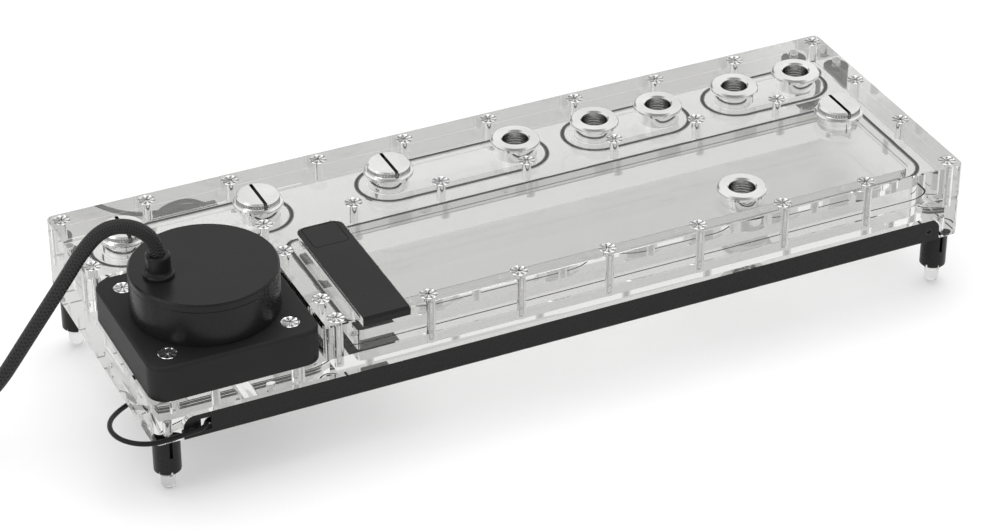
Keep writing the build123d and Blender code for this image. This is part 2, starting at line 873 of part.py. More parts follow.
def make_leg_foot(place):
    tip = -leg_height - foot_drop
    shoulder = tip + foot_neck_radius
    plug_radius = foot_socket_radius - foot_clearance
    neck_top = -leg_height - foot_cone_height
    profile = make_face(
        Polyline(
            (0, 0, shoulder),
            (foot_neck_radius, 0, shoulder),
            (foot_neck_radius, 0, neck_top),
            (foot_cone_radius, 0, -leg_height - foot_clearance),
            (plug_radius, 0, -leg_height - foot_clearance),
            (plug_radius, 0, -leg_height + foot_socket_depth),
            (0, 0, -leg_height + foot_socket_depth),
            close=True,
        )
    )
    foot = revolve(profile, Axis.Z)
    dome = Pos(0, 0, shoulder) * Sphere(foot_neck_radius)
    dome -= Pos(0, 0, shoulder + foot_neck_radius) * Box(
        2 * foot_neck_radius, 2 * foot_neck_radius, 2 * foot_neck_radius
    )
    foot += dome
    rib_half = foot_rib_width / 2 - foot_clearance
    for i in range(foot_rib_count):
        rib = box(
            plug_radius / 2,
            -rib_half,
            -leg_height - foot_clearance,
            foot_cone_radius,
            rib_half,
            -leg_height + foot_rib_height - foot_clearance,
        )
        foot += Rot(0, 0, 30 + i * 360 / foot_rib_count) * rib
    return Pos(place[0], place[1], 0) * foot


def make_leg_studs():
    return [rod(x, y, -stud_drop, stud_rise, stud_radius) for x, y in leg_places.values()]


# Cables
def route_tube(points, radius, name):
    """A tube of straight runs and tangent arcs, each arc as large as its two runs allow."""
    vectors = [Vector(*p) for p in points]
    radii = []
    for before, here, after in zip(vectors, vectors[1:], vectors[2:]):
        run_in = here - before
        run_out = after - here
        half_turn = radians(run_in.get_angle(run_out) / 2)
        radii.append(0.45 * min(run_in.length, run_out.length) / tan(half_turn))
    path = FilletPolyline(*vectors, radius=radii)
    section = Plane(origin=vectors[0], z_dir=vectors[1] - vectors[0]) * Circle(radius)
    tube = sweep(section, path=path)
    share = tube.volume / (pi * radius**2 * path.length)
    print(name, "length", round(path.length, 1), "tightest arc", round(min(radii), 1))
    print(name, "volume share", round(share, 4))
    return tube


floor_height = -ground_clearance
pump_cable_floor = floor_height + pump_cable_radius
gland_top = cap_top + gland_flange_height + gland_collar_height
# How far the cable has gone from the gland along its heading, and its height over the gland's top
pump_cable_profile = [
    (0.0, -5.0),
    (0.0, 4.2),
    (5.3, 11.6),
    (14.1, 14.5),
    (22.8, 11.9),
    (31.0, 2.1),
    (39.7, -12.9),
    (49.8, -29.3),
    (60.2, -46.3),
    (70.6, -63.2),
    (83.2, -76.2),
    (98.5, -85.5),
    (115.6, -90.9),
]
# Where it lies on the floor and meets its coil, in plate coordinates
pump_cable_landing = [
    (-105.0, 87.2, pump_cable_floor),
    (-121.8, 91.6, pump_cable_floor),
    (-139.3, 92.6, pump_cable_floor),
]
coil_slack = 1.03
pump_coil_radius = 33.3
pump_coil_width = (1 + 2 * coil_slack) * 2 * pump_cable_radius
pump_coil_height = 2 * pump_cable_radius
pump_coil_x = -139.3
pump_coil_y = 52.6


def make_pump_cable():
    heading = radians(pump_cable_heading)
    points = [
        (gland_x - d * cos(heading), pump_centre_y + d * sin(heading), gland_top + h)
        for d, h in pump_cable_profile
    ]
    return route_tube(points + pump_cable_landing, pump_cable_radius, "pump_cable")


def coil_ring(x, y, middle_radius, width, height):
    """The outer shape of a flat coil lying on the floor."""
    ring = rod(x, y, floor_height, floor_height + height, middle_radius + width / 2)
    return ring - rod(x, y, floor_height, floor_height + height, middle_radius - width / 2)


light_cable_floor = floor_height + light_cable_radius
light_cable_points = [
    (29.2, 3.1, 5.2),
    (24.5, 3.1, 5.2),
    (21.9, -2.2, 5.1),
    (15.6, -2.1, 4.6),
    (7.6, -1.9, 3.6),
    (-1.0, -1.2, 3.0),
    (-8.0, 2.6, 2.8),
    (-12.4, 9.4, 2.2),
    (-13.2, 18.2, 1.0),
    (-10.4, 26.8, -0.8),
    (-4.8, 34.4, -3.0),
    (3.0, 41.4, -5.2),
    (13.4, 50.0, -8.4),
    (24.6, 60.2, -13.4),
    (36.4, 71.0, -19.2),
    (48.8, 80.6, -24.4),
    (61.6, 85.2, light_cable_floor),
    (75.6, 86.4, light_cable_floor),
]
light_coil_radius = 12.4
light_coil_width = (1 + 2 * coil_slack) * 2 * light_cable_radius
light_coil_height = (1 + coil_slack) * 2 * light_cable_radius
light_coil_x = 75.6
light_coil_y = 101.0


def make_light_cable():
    return route_tube(light_cable_points, light_cable_radius, "light_cable")


# Plugs at the far ends of the two cables
pump_connector_length = 16.0
pump_connector_width = 21.0
pump_connector_height = 8.0
pump_connector_ways = 4
light_connector_length = 9.0
light_connector_width = 8.0
light_connector_height = 3.2
light_connector_ways = 3


def make_connector(x, y, rest_height, length, width, height, ways, facing):
    """A flat housing that lies on its coil, with a row of sockets at the end that it faces."""
    body = box(
        x - width / 2, y - length / 2, rest_height, x + width / 2, y + length / 2, rest_height + height
    )
    body = chamfer(body.edges().filter_by(Axis.Y), height / 8)
    step = width / ways
    depth = length * 0.65
    socket_y = y + facing * (length - depth) / 2
    for i in range(ways):
        middle = x - width / 2 + (i + 0.5) * step
        socket = Box(step * 0.6, depth, height * 0.5)
        body -= Pos(middle, socket_y, rest_height + height / 2) * socket
    return body


def build():
    nodes = {
        "base_plate": make_base_plate(),
        "top_plate": make_top_plate(),
        "plate_screws": make_plate_screws(),
        "reservoir_seal": seal_from(reservoir_ring(0)),
        "insert_seals": make_insert_seals(),
        "pump_body": make_pump_body(),
        "pump_seal": seal_from(pump_ring(0)),
        "pump_screws": make_pump_screws(),
        "motor_sleeve": make_motor_sleeve(),
        "motor_cap": make_motor_cap(),
        "motor_core": make_motor_core(),
        "drive_board": make_drive_board(),
        "stator_cup": make_stator_cup(),
        "bearing_ball": make_bearing_ball(),
        "pump_rotor": make_rotor(),
        "cable_gland": make_cable_gland(),
        "cover_bar": make_cover_bar(),
        "blank_badge": make_badge(),
        "front_rail": make_front_rail(),
        "rail_screws": make_rail_screws(),
        "light_strip": make_light_strip(),
        "leg_studs": make_leg_studs(),
        "pump_cable": make_pump_cable(),
        "pump_cable_coil": coil_ring(
            pump_coil_x, pump_coil_y, pump_coil_radius, pump_coil_width, pump_coil_height
        ),
        "light_cable": make_light_cable(),
        "light_cable_coil": coil_ring(
            light_coil_x, light_coil_y, light_coil_radius, light_coil_width, light_coil_height
        ),
    }
    nodes["pump_cable_plug"] = make_connector(
        pump_coil_x - pump_coil_radius,
        pump_coil_y,
        floor_height + pump_coil_height,
        pump_connector_length,
        pump_connector_width,
        pump_connector_height,
        pump_connector_ways,
        -1,
    )
    nodes["light_cable_plug"] = make_connector(
        light_coil_x + light_coil_radius,
        light_coil_y,
        floor_height + light_coil_height,
        light_connector_length,
        light_connector_width,
        light_connector_height,
        light_connector_ways,
        1,
    )
    for i, ends in enumerate(channel_ends):
        nodes[f"channel_seal_{i + 1}"] = seal_from(channel_ring(ends, 0))
    for i, place in enumerate(ports):
        nodes[f"port_insert_{i + 1}"] = make_insert(place)
    for i, place in enumerate(plugged_ports):
        nodes[f"stop_plug_{i + 1}"] = make_plug(place)
        nodes[f"plug_seal_{i + 1}"] = make_plug_seal(place)
    for name, place in leg_places.items():
        nodes[f"leg_{name}"] = make_leg(place)
        nodes[f"foot_{name}"] = make_leg_foot(place)
    return nodes


def write(nodes):
    os.makedirs("parts", exist_ok=True)
    to_origin = Pos(-plate_length / 2, -plate_width / 2, ground_clearance)
    for name, shape in nodes.items():
        solids = shape if isinstance(shape, list) else [shape]
        placed = [to_origin * solid for solid in solids]
        whole = placed[0] if len(placed) == 1 else Compound(children=placed)
        export_step(whole, f"parts/{name}.step")
    print(len(nodes), "nodes written")


write(build())
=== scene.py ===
# %% [markdown]
# # A water cooling distribution plate
# Two clear acrylic layers hold a milled reservoir and four short channels. A corner pump moves the
# coolant, metal inserts line the ports, and slotted plugs close four of them. The CAD model is the
# frame: it is loaded first, its pieces get procedural materials, and the leads, screws and other
# fine pieces are modelled over it.

# %% Load the frame
import json
from math import cos, pi, radians, sin

import bmesh
import bpy
from mathutils import Matrix, Vector


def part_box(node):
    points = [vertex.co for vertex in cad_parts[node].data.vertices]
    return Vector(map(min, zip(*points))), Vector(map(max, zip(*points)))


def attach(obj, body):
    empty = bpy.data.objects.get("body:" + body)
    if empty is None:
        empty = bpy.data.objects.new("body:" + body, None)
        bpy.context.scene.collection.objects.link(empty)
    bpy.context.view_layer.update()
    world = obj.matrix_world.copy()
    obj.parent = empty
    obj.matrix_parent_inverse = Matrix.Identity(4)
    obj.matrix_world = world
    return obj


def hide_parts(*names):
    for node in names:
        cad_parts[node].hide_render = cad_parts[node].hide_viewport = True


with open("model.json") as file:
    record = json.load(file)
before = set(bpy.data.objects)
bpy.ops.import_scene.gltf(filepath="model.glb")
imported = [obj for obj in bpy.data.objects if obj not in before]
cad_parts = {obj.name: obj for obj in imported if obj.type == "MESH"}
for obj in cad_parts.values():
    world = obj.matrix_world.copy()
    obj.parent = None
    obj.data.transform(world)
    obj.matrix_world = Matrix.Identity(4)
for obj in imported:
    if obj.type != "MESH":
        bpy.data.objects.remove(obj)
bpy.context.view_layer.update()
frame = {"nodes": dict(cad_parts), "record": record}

# %% [markdown]
# ## Camera
# The photograph was solved for its camera: a long lens from the front left, looking down at a third
# of a right angle. A camera could be aimed with a Track To constraint, but here its axes are worked
# out from the azimuth, the elevation and a small roll, so that its turn is set exactly.

# %% Camera
azimuth, elevation, roll = radians(-25.29), radians(32.99), radians(0.08)
camera_place = (-0.52981, -1.10696, 0.82168)
lens_mm, sensor_mm = 117.19, 36.0

back = Vector((sin(azimuth) * cos(elevation), -cos(azimuth) * cos(elevation), sin(elevation)))
right = Vector((cos(azimuth), sin(azimuth), 0))
up = back.cross(right)
turned_right = right * cos(roll) + up * sin(roll)
turned_up = up * cos(roll) - right * sin(roll)
axes = Matrix((turned_right, turned_up, back)).transposed().to_4x4()

camera_data = bpy.data.cameras.new("camera")
camera_data.sensor_width = sensor_mm
camera_data.lens = lens_mm
camera_data.clip_start, camera_data.clip_end = 0.05, 20
camera = bpy.data.objects.new("camera", camera_data)
bpy.context.scene.collection.objects.link(camera)
camera.matrix_world = Matrix.Translation(camera_place) @ axes
bpy.context.scene.camera = camera
print("camera", [round(c, 3) for c in camera.location])

# %% [markdown]
# ## Helpers for materials
# Each material starts from one Principled shader. Its nodes could be added one call at a time, but
# `wire` adds a node, sets its values and links its inputs at once, so that a pattern reads as a
# list of steps. `maths` and `eased` shorten its two commonest uses.


# %% Node helpers
def new_material(name, **values):
    """A material with one Principled shader, whose sockets are set by name."""
    material = bpy.data.materials.new(name)
    material.use_nodes = True
    shader = material.node_tree.nodes["Principled BSDF"]
    for key, value in values.items():
        shader.inputs[key.replace("_", " ")].default_value = value
    return material, material.node_tree, shader


def wire(tree, kind, inputs=None, **settings):
    """A node with its settings, and with inputs that are values or other nodes' sockets."""
    node = tree.nodes.new(kind)
    for key, value in settings.items():
        setattr(node, key, value)
    for key, value in (inputs or {}).items():
        if isinstance(value, bpy.types.NodeSocket):
            tree.links.new(value, node.inputs[key])
        else:
            node.inputs[key].default_value = value
    return node


def maths(tree, operation, *values):
    """The result of a Math node on numbers or sockets."""
    return wire(tree, "ShaderNodeMath", dict(enumerate(values)), operation=operation).outputs[0]


def eased(tree, value, source, target, curve="SMOOTHSTEP"):
    """A value moved from one range to another, which it doesn't leave."""
    inputs = {
        "Value": value,
        "From Min": source[0],
        "From Max": source[1],
        "To Min": target[0],
        "To Max": target[1],
    }
    return wire(tree, "ShaderNodeMapRange", inputs, interpolation_type=curve).outputs["Result"]


def mixed(tree, share, first, second):
    """The first shader where the share is nought, and the second where it is one."""
    return wire(tree, "ShaderNodeMixShader", {0: share, 1: first, 2: second}).outputs[0]


def any_ray(tree, *kinds):
    """One for a ray of any of these kinds, and nought for others."""
    path = wire(tree, "ShaderNodeLightPath").outputs
    share = path[kinds[0]]
    for kind in kinds[1:]:
        share = maths(tree, "MAXIMUM", share, path[kind])
    return share


# %% [markdown]
# The next helpers make the patterns. Noise and coordinates are taken in each object's own space, so
# that a finish stays on its piece when a joint moves it.


# %% Pattern helpers
colour_a, colour_b, colour_result = 6, 7, 2


def ramp(tree, factor, stops):
    """A colour ramp from a list of places and grey levels or colours."""
    node = wire(tree, "ShaderNodeValToRGB", {"Fac": factor})
    elements = node.color_ramp.elements
    while len(elements) < len(stops):
        elements.new(0.5)
    for element, (place, level) in zip(elements, stops):
        element.position = place
        element.color = (*level, 1) if isinstance(level, tuple) else (level, level, level, 1)
    return node.outputs["Color"]


def bump(tree, shader, height, strength, distance):
    """Gives a shader a bump from a height socket."""
    inputs = {"Height": height, "Strength": strength, "Distance": distance}
    node = wire(tree, "ShaderNodeBump", inputs)
    tree.links.new(node.outputs["Normal"], shader.inputs["Normal"])
    return node


def moved_point(tree, **mapping):
    """Object coordinates after a Mapping node with these inputs."""
    point = wire(tree, "ShaderNodeTexCoord").outputs["Object"]
    return wire(tree, "ShaderNodeMapping", {"Vector": point, **mapping}).outputs["Vector"]


def split(tree, vector):
    """A vector's X, Y and Z sockets."""
    return wire(tree, "ShaderNodeSeparateXYZ", {"Vector": vector}).outputs


def noise(tree, scale, detail, stretch=(1, 1, 1)):
    """Noise in object coordinates, stretched along an axis where asked."""
    inputs = {"Vector": moved_point(tree, Scale=stretch), "Scale": scale, "Detail": detail}
    return wire(tree, "ShaderNodeTexNoise", inputs).outputs["Fac"]


def shaded(tree, shader, share, tone):
    """Paints one tone over a shader's patterned colour where the share is one: painted shade or a
    painted reflection.
    """
    own_colour = shader.inputs["Base Color"].links[0].from_socket
    inputs = {"Factor": share, colour_a: own_colour, colour_b: (*tone, 1)}
    node = wire(tree, "ShaderNodeMix", inputs, data_type="RGBA")
    tree.links.new(node.outputs[colour_result], shader.inputs["Base Color"])


# %% [markdown]
# ## Clear acrylic
# Cast acrylic bends light by 1.49. Each face that light crosses takes a little of it, which gives
# the thick layers their light grey; a volume would be truer but slower and noisier. The milled
# pockets keep a faint trace of the cutter, and light reaches the floor through the plate, so
# shadow rays pass. Straight through both layers a ray crosses four faces. One that is caught
# between the polished faces crosses more, and would show scraps of black parts far away, which in
# the photograph melt into an even grey, so from the sixth crossing the surface glows in that grey:
# painted light in place of what the ray would find.

# %% Acrylic
paint = {}
acrylic_index = 1.49
last_clear_depth = 4.5
cutter_marks = (1, 0.15, 1)


def clear_material(name, tint, shadow, roughness, painted_glow_tone):
    """A clear plastic whose shadow rays pass and whose trapped rays end in a painted glow of one
    tone.
    """
    material, tree, shader = new_material(
        name,
        Base_Color=(*tint, 1),
        Roughness=roughness,
        IOR=acrylic_index,
        Transmission_Weight=1.0,
    )
    marks = noise(tree, scale=260.0, detail=2.0, stretch=cutter_marks)
    bump(tree, shader, marks, strength=0.004, distance=0.0002)
    path = wire(tree, "ShaderNodeLightPath").outputs
    # Past this depth the surface glows grey: painted light in place of what a trapped ray would
    # find.
    caught = maths(tree, "GREATER_THAN", path["Ray Depth"], last_clear_depth)
    room = wire(tree, "ShaderNodeEmission", {"Color": (*painted_glow_tone, 1), "Strength": 1.0})
    passing = wire(tree, "ShaderNodeBsdfTransparent", {"Color": (*shadow, 1)})
    freed = mixed(tree, caught, shader.outputs[0], room.outputs[0])
    surface = mixed(tree, path["Is Shadow Ray"], freed, passing.outputs[0])
    tree.links.new(surface, tree.nodes["Material Output"].inputs["Surface"])
    return material


paint["clear_acrylic"] = clear_material(
    "clear_acrylic",
    tint=(0.81, 0.81, 0.802),
    shadow=(0.93, 0.93, 0.93),
    roughness=0.0,
    painted_glow_tone=(0.62, 0.62, 0.612),
)
paint["clear_foot"] = clear_material(
    "clear_foot",
    tint=(0.78, 0.78, 0.78),
    shadow=(0.85, 0.85, 0.85),
    roughness=0.04,
    painted_glow_tone=(0.45, 0.45, 0.45),
)
print("clear materials", sorted(paint))

# %% [markdown]
# ## Metals, plastics and rubber
# The housings are black moulded acetal, the rail is coated metal and the fittings are nickel
# plated. A plain shader would look like paint on all of them, so fine noise moves the roughness
# and the surface at the scale of each one's grain. The black parts' edges are never quite sharp: a
# Bevel node rounds the light on them without a change to the CAD shape.


# %% Solid materials
def grained(
    name, colour, roughness, spread=0.08, scale=900.0, strength=0.05, edge=0.0, **values
):
    """A solid material whose roughness and surface follow one fine noise.

    An edge, where one is given, is the radius over which edges look rounded.
    """
    material, tree, shader = new_material(name, Base_Color=(*colour, 1), **values)
    grain = noise(tree, scale, detail=4.0)
    low, high = max(roughness - spread, 0.02), min(roughness + spread, 1.0)
    tree.links.new(ramp(tree, grain, [(0.3, low), (0.7, high)]), shader.inputs["Roughness"])
    relief = bump(tree, shader, grain, strength, distance=0.0002)
    if edge:
        rounding = wire(tree, "ShaderNodeBevel", {"Radius": edge}, samples=6)
        tree.links.new(rounding.outputs["Normal"], relief.inputs["Normal"])
    dark = tuple(c * 0.85 for c in colour)
    cloud = noise(tree, scale=40.0, detail=3.0)
    tree.links.new(ramp(tree, cloud, [(0.35, dark), (0.65, colour)]), shader.inputs["Base Color"])
    return material


plating = (0.86, 0.86, 0.85)
finishes = {
    "bright_nickel": dict(colour=(0.90, 0.90, 0.885), roughness=0.16, spread=0.04, Metallic=1.0),
    "screw_steel": dict(colour=(0.82, 0.82, 0.82), roughness=0.2, spread=0.08, Metallic=1.0),
    "plug_metal": dict(colour=plating, roughness=0.3, spread=0.06, Metallic=1.0),
    "dark_screw": dict(colour=(0.03, 0.03, 0.03), roughness=0.3, spread=0.05, Metallic=0.8),
    "black_acetal": dict(
        colour=(0.015, 0.015, 0.0148),
        roughness=0.5,
        spread=0.05,
        scale=1400.0,
        strength=0.1,
        edge=0.0013,
        Specular_IOR_Level=0.16,
    ),
    "black_metal": dict(
        colour=(0.011, 0.011, 0.0108),
        roughness=0.3,
        spread=0.05,
        scale=1600.0,
        strength=0.08,
        edge=0.0004,
        Specular_IOR_Level=0.2,
    ),
    "cable_jacket": dict(
        colour=(0.007, 0.007, 0.007), roughness=0.42, spread=0.06, Specular_IOR_Level=0.2
    ),
    "seal_rubber": dict(colour=(0.045, 0.045, 0.05), roughness=0.5, strength=0.1),
    "wound_core": dict(colour=(0.42, 0.2, 0.09), roughness=0.35, spread=0.1, Metallic=0.9),
    "circuit_board": dict(colour=(0.01, 0.08, 0.03), roughness=0.4),
    "cup_plastic": dict(colour=(0.62, 0.6, 0.56), roughness=0.35),
    "rotor_plastic": dict(colour=(0.05, 0.05, 0.055), roughness=0.4),
    "ceramic": dict(colour=(0.85, 0.85, 0.82), roughness=0.12, spread=0.04),
    "light_strip": dict(colour=(0.75, 0.75, 0.70), roughness=0.4),
    "plug_plastic": dict(colour=(0.02, 0.02, 0.02), roughness=0.5),
}
for name, finish in finishes.items():
    paint[name] = grained(name, **finish)
print("materials", len(paint))

# %% [markdown]
# ## Slotted plugs
# The driver slot, walls and floor, is painted dark: painted shade in the recess. It could be a
# second material on the slot's faces, but CAD pieces aren't changed, so the shader finds it: it is
# narrow, and it lies below the top, both counted from the middle of the head's own top.


# %% Plug metal with painted shade in the slot
slot_half_width, polished_skin = 0.00082, 0.00006
slot_shade_tone = (0.08, 0.08, 0.08)


def moved_parts(tree, centre):
    """X, Y and Z in object coordinates, counted from a centre."""
    return split(tree, moved_point(tree, Location=[-c for c in centre]))


def plug_material(name, top_middle):
    """Polished metal with painted shade in the slot of the plug whose top has this middle."""
    material = grained(
        name, plating, roughness=0.24, spread=0.06, scale=700.0, strength=0.06, Metallic=1.0
    )
    tree = material.node_tree
    own = moved_parts(tree, top_middle)
    inside = maths(tree, "LESS_THAN", maths(tree, "ABSOLUTE", own["X"]), slot_half_width)
    below = maths(tree, "LESS_THAN", own["Z"], -polished_skin)
    # The slot is painted dark: painted shade in the recess.
    slot = maths(tree, "MULTIPLY", inside, below)
    shaded(tree, tree.nodes["Principled BSDF"], slot, slot_shade_tone)
    return material


# %% [markdown]
# ## Threaded port inserts
# A port insert has a fine pipe thread in its bore and a polished flange outside. Modelled threads
# would need many thousands of faces for a few pixels, so a wave along the axis tilts the surface
# in the bore, whose colour is painted a darker grey: painted shade. The bore is what lies near the
# insert's own axis.


# %% Nickel with a threaded bore
bore_radius, pipe_pitch = 0.00602, 0.00134
insert_nickel, bore_shade_tone = (0.87, 0.87, 0.855), (0.4, 0.4, 0.39)


def insert_material(name, middle):
    """Nickel with a threaded bore, painted darker as painted shade, round the axis at this middle.
    """
    material = grained(name, insert_nickel, roughness=0.14, spread=0.04, Metallic=1.0)
    tree = material.node_tree
    shader = tree.nodes["Principled BSDF"]
    own = moved_parts(tree, (*middle, 0))
    flat = wire(tree, "ShaderNodeCombineXYZ", {"X": own["X"], "Y": own["Y"]})
    reach = wire(tree, "ShaderNodeVectorMath", {0: flat.outputs[0]}, operation="LENGTH")
    bore = maths(tree, "LESS_THAN", reach.outputs["Value"], bore_radius)
    thread = maths(tree, "SINE", maths(tree, "MULTIPLY", own["Z"], 2 * pi / pipe_pitch))
    cut = maths(tree, "MULTIPLY", thread, bore)
    flanks = wire(tree, "ShaderNodeBump", {"Height": cut, "Strength": 0.4, "Distance": 0.0003})
    relief = shader.inputs["Normal"].links[0].from_node
    tree.links.new(flanks.outputs["Normal"], relief.inputs["Normal"])
    # The bore is painted darker: painted shade inside the hole.
    shaded(tree, shader, bore, bore_shade_tone)
    return material


# %% [markdown]
# ## Braided sleeve
# The pump's lead wears a braided sleeve: two sets of slanting threads cross over each other round
# it. Strands of real geometry would be heavy for a lead this thin, so the braid is a pattern. The
# curve's own UV runs along it and round it. The tops of the threads are painted lighter, a painted
# highlight, and the gaps between them darker, painted shade.


# %% Braid
threads_along, threads_around = 400.0, 7.0
gap_shade_tone, thread_highlight_tone = (0.003, 0.003, 0.003), (0.02, 0.02, 0.02)


def braid_material():
    """A dark sleeve with threads along two slants of the curve's own coordinates."""
    material, tree, shader = new_material("cable_sleeve", Roughness=0.5, Specular_IOR_Level=0.3)
    own = split(tree, wire(tree, "ShaderNodeTexCoord").outputs["UV"])
    along = maths(tree, "MULTIPLY", own["X"], threads_along)
    around = maths(tree, "MULTIPLY", own["Y"], threads_around)
    heights = []
    for slant in ("ADD", "SUBTRACT"):
        turn = maths(tree, "MULTIPLY", maths(tree, slant, along, around), 2 * pi)
        heights.append(maths(tree, "SINE", turn))
    level = eased(tree, maths(tree, "MAXIMUM", *heights), (-1.0, 1.0), (0.0, 1.0), "LINEAR")
    # Thread tops get a painted highlight and the gaps get painted shade.
    colour = ramp(tree, level, [(0.4, gap_shade_tone), (0.95, thread_highlight_tone)])
    tree.links.new(colour, shader.inputs["Base Color"])
    bump(tree, shader, level, strength=0.6, distance=0.0005)
    return material


paint["cable_sleeve"] = braid_material()
print("braid", threads_along, "by", threads_around)

# %% [markdown]
# ## Materials on the CAD pieces
# Every node keeps its shape and takes the material of its slot in the record. The ten inserts look
# the same, but each needs a material of its own, because its shader counts from its own middle.

# %% Assign
insert_count = 10

for row in frame["record"]["subparts"]:
    piece = frame["nodes"][row["node"]]
    for holder in piece.material_slots:
        holder.material = paint[row["material_slot"]]
for number in range(1, insert_count + 1):
    piece = frame["nodes"][f"port_insert_{number}"]
    low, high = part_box(f"port_insert_{number}")
    middle = ((low[0] + high[0]) / 2, (low[1] + high[1]) / 2)
    piece.material_slots[0].material = insert_material(f"insert_nickel_{number}", middle)

# %% [markdown]
# ## Leads
# Two leads leave the plate: the pump's, in its sleeve, and a thin one from the light strip. A chain
# of cylinders would show its joints, so each is one smooth NURBS curve with a round section. The
# length that the photograph doesn't show lies in a coil beside or under the plate.

# %% Lead helpers
half_length, half_width, ground = 0.195, 0.0665, 0.0275


def placed(points):
    """Points in millimetres from the plate's front left lower corner, moved to the frame."""
    return [
        (x / 1000 - half_length, y / 1000 - half_width, z / 1000 + ground) for x, y, z in points
    ]


def lead(name, points, diameter, material):
    """One open NURBS curve with a round section."""
    data = bpy.data.curves.new(name, "CURVE")
    data.dimensions = "3D"
    data.bevel_depth = diameter / 2
    data.bevel_resolution = 5
    data.resolution_u = 8
    data.use_fill_caps = True
    spline = data.splines.new("NURBS")
    spline.points.add(len(points) - 1)
    for control, point in zip(spline.points, points):
        control.co = (*point, 1)
    spline.order_u = 3
    spline.use_endpoint_u = True
    data.materials.append(material)
    obj = bpy.data.objects.new(name, data)
    bpy.context.scene.collection.objects.link(obj)
    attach(obj, "plate")
    print(name, len(points), "control points")
    return obj


def turns(centre, start_angle, stops, per_turn=14):
    """Control points round a centre, between stops given as turns done, radius and height."""
    points = []
    for (t0, r0, z0), (t1, r1, z1) in zip(stops, stops[1:]):
        count = max(1, round((t1 - t0) * per_turn))
        for i in range(count):
            share = (i + 0.5) / count
            angle = radians(start_angle) + 2 * pi * (t0 + share * (t1 - t0))
            radius = (r0 + share * (r1 - r0)) / cos(pi / per_turn)
            x, y = centre[0] + radius * cos(angle), centre[1] + radius * sin(angle)
            points.append((x, y, z0 + share * (z1 - z0)))
    return points


# %% [markdown]
# ## Route of the pump's lead
# It rises from the gland, arches over the corner and falls to the floor, where its coil's turns are
# more control points of the same curve. The coil winds inwards, and the end climbs onto it, where
# the plug lies.

# %% Pump lead
floor_mm = -27.5
pump_rest = floor_mm + 3.25
pump_lead_mm = [
    (19.2, 38.0, 63.4),
    (19.2, 38.0, 72.6),
    (14.3, 40.0, 80.0),
    (6.1, 43.3, 82.9),
    (-1.9, 46.5, 80.3),
    (-9.5, 49.6, 70.5),
    (-17.6, 52.9, 55.5),
    (-27.0, 56.7, 39.1),
    (-36.6, 60.6, 22.1),
    (-46.3, 64.4, 5.2),
    (-57.9, 69.2, -7.8),
    (-72.1, 74.9, -17.1),
    (-88.0, 81.3, -22.5),
    (-105.0, 87.2, pump_rest),
    (-121.8, 91.6, pump_rest),
]
pump_coil_mm = turns(
    (-139.3, 52.6),
    90,
    [
        (0.0, 40.0, pump_rest),
        (1.85, 27.6, pump_rest),
        (2.02, 27.0, floor_mm + 8.0),
        (2.12, 29.6, floor_mm + 10.2),
        (2.2, 33.3, floor_mm + 10.5),
    ],
)
pump_end_mm = [(-172.6, 62.6, floor_mm + 10.5), (-172.6, 59.0, floor_mm + 10.5)]
pump_lead = lead(
    "pump_lead",
    placed(pump_lead_mm + pump_coil_mm + pump_end_mm),
    0.0065,
    paint["cable_sleeve"],
)
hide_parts("pump_cable", "pump_cable_coil")

# %% [markdown]
# ## Route of the light's lead
# It leaves the rail's left opening, bows out round the front left corner, as in the photograph, and
# runs back under the plate. Its coil winds inwards on the floor and out again in a second layer,
# and its end climbs onto that, where its plug lies.

# %% Light lead
light_rest = floor_mm + 1.1
light_lead_mm = [
    (29.2, 3.1, 5.2),
    (24.5, 3.1, 5.2),
    (21.9, -2.2, 5.1),
    (15.6, -2.1, 4.6),
    (7.6, -1.9, 3.6),
    (-1.0, -1.2, 3.0),
    (-8.0, 2.6, 2.8),
    (-12.4, 9.4, 2.2),
    (-13.2, 18.2, 1.0),
    (-10.4, 26.8, -0.8),
    (-4.8, 34.4, -3.0),
    (3.0, 41.4, -5.2),
    (13.4, 50.0, -8.4),
    (24.6, 60.2, -13.4),
    (36.4, 71.0, -19.2),
    (48.8, 80.6, -24.4),
    (61.6, 85.2, light_rest),
]
light_coil_mm = turns(
    (75.6, 101.0),
    -90,
    [
        (0.0, 14.7, light_rest),
        (1.95, 10.2, light_rest),
        (2.15, 10.3, floor_mm + 3.4),
        (3.9, 14.6, floor_mm + 3.4),
        (4.12, 13.6, floor_mm + 6.2),
    ],
)
light_end_mm = [(88.0, 97.6, floor_mm + 6.1), (88.0, 96.6, floor_mm + 6.1)]
light_lead = lead(
    "light_lead",
    placed(light_lead_mm + light_coil_mm + light_end_mm),
    0.0022,
    paint["cable_jacket"],
)
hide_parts("light_cable", "light_cable_coil")

# %% [markdown]
# ## Countersunk screws
# The screws that clamp the layers are the same screw many times over, so one is modelled and
# Geometry Nodes put it at each place. The head is a little dished, with a cross recess and eight
# shallow facets that the pressing leaves. The shank is smooth above and threaded below. The form is
# built ring by ring from the recess's floor, over the head and down to the tip, which keeps it one
# closed mesh. Its rings stand for the thread, because a true helix would cost far more faces.


# %% One screw
def arm(angle):
    """One along the four arms of the cross recess, nought between them."""
    return abs(cos(2 * angle)) ** 6


def facet(angle):
    """One at the middle of each of the head's eight facets, nought between them."""
    return (1 + cos(8 * angle)) / 2


def at(size, angle):
    """A ring's radius or height at an angle: a number, or a function of the angle."""
    return size(angle) if callable(size) else size


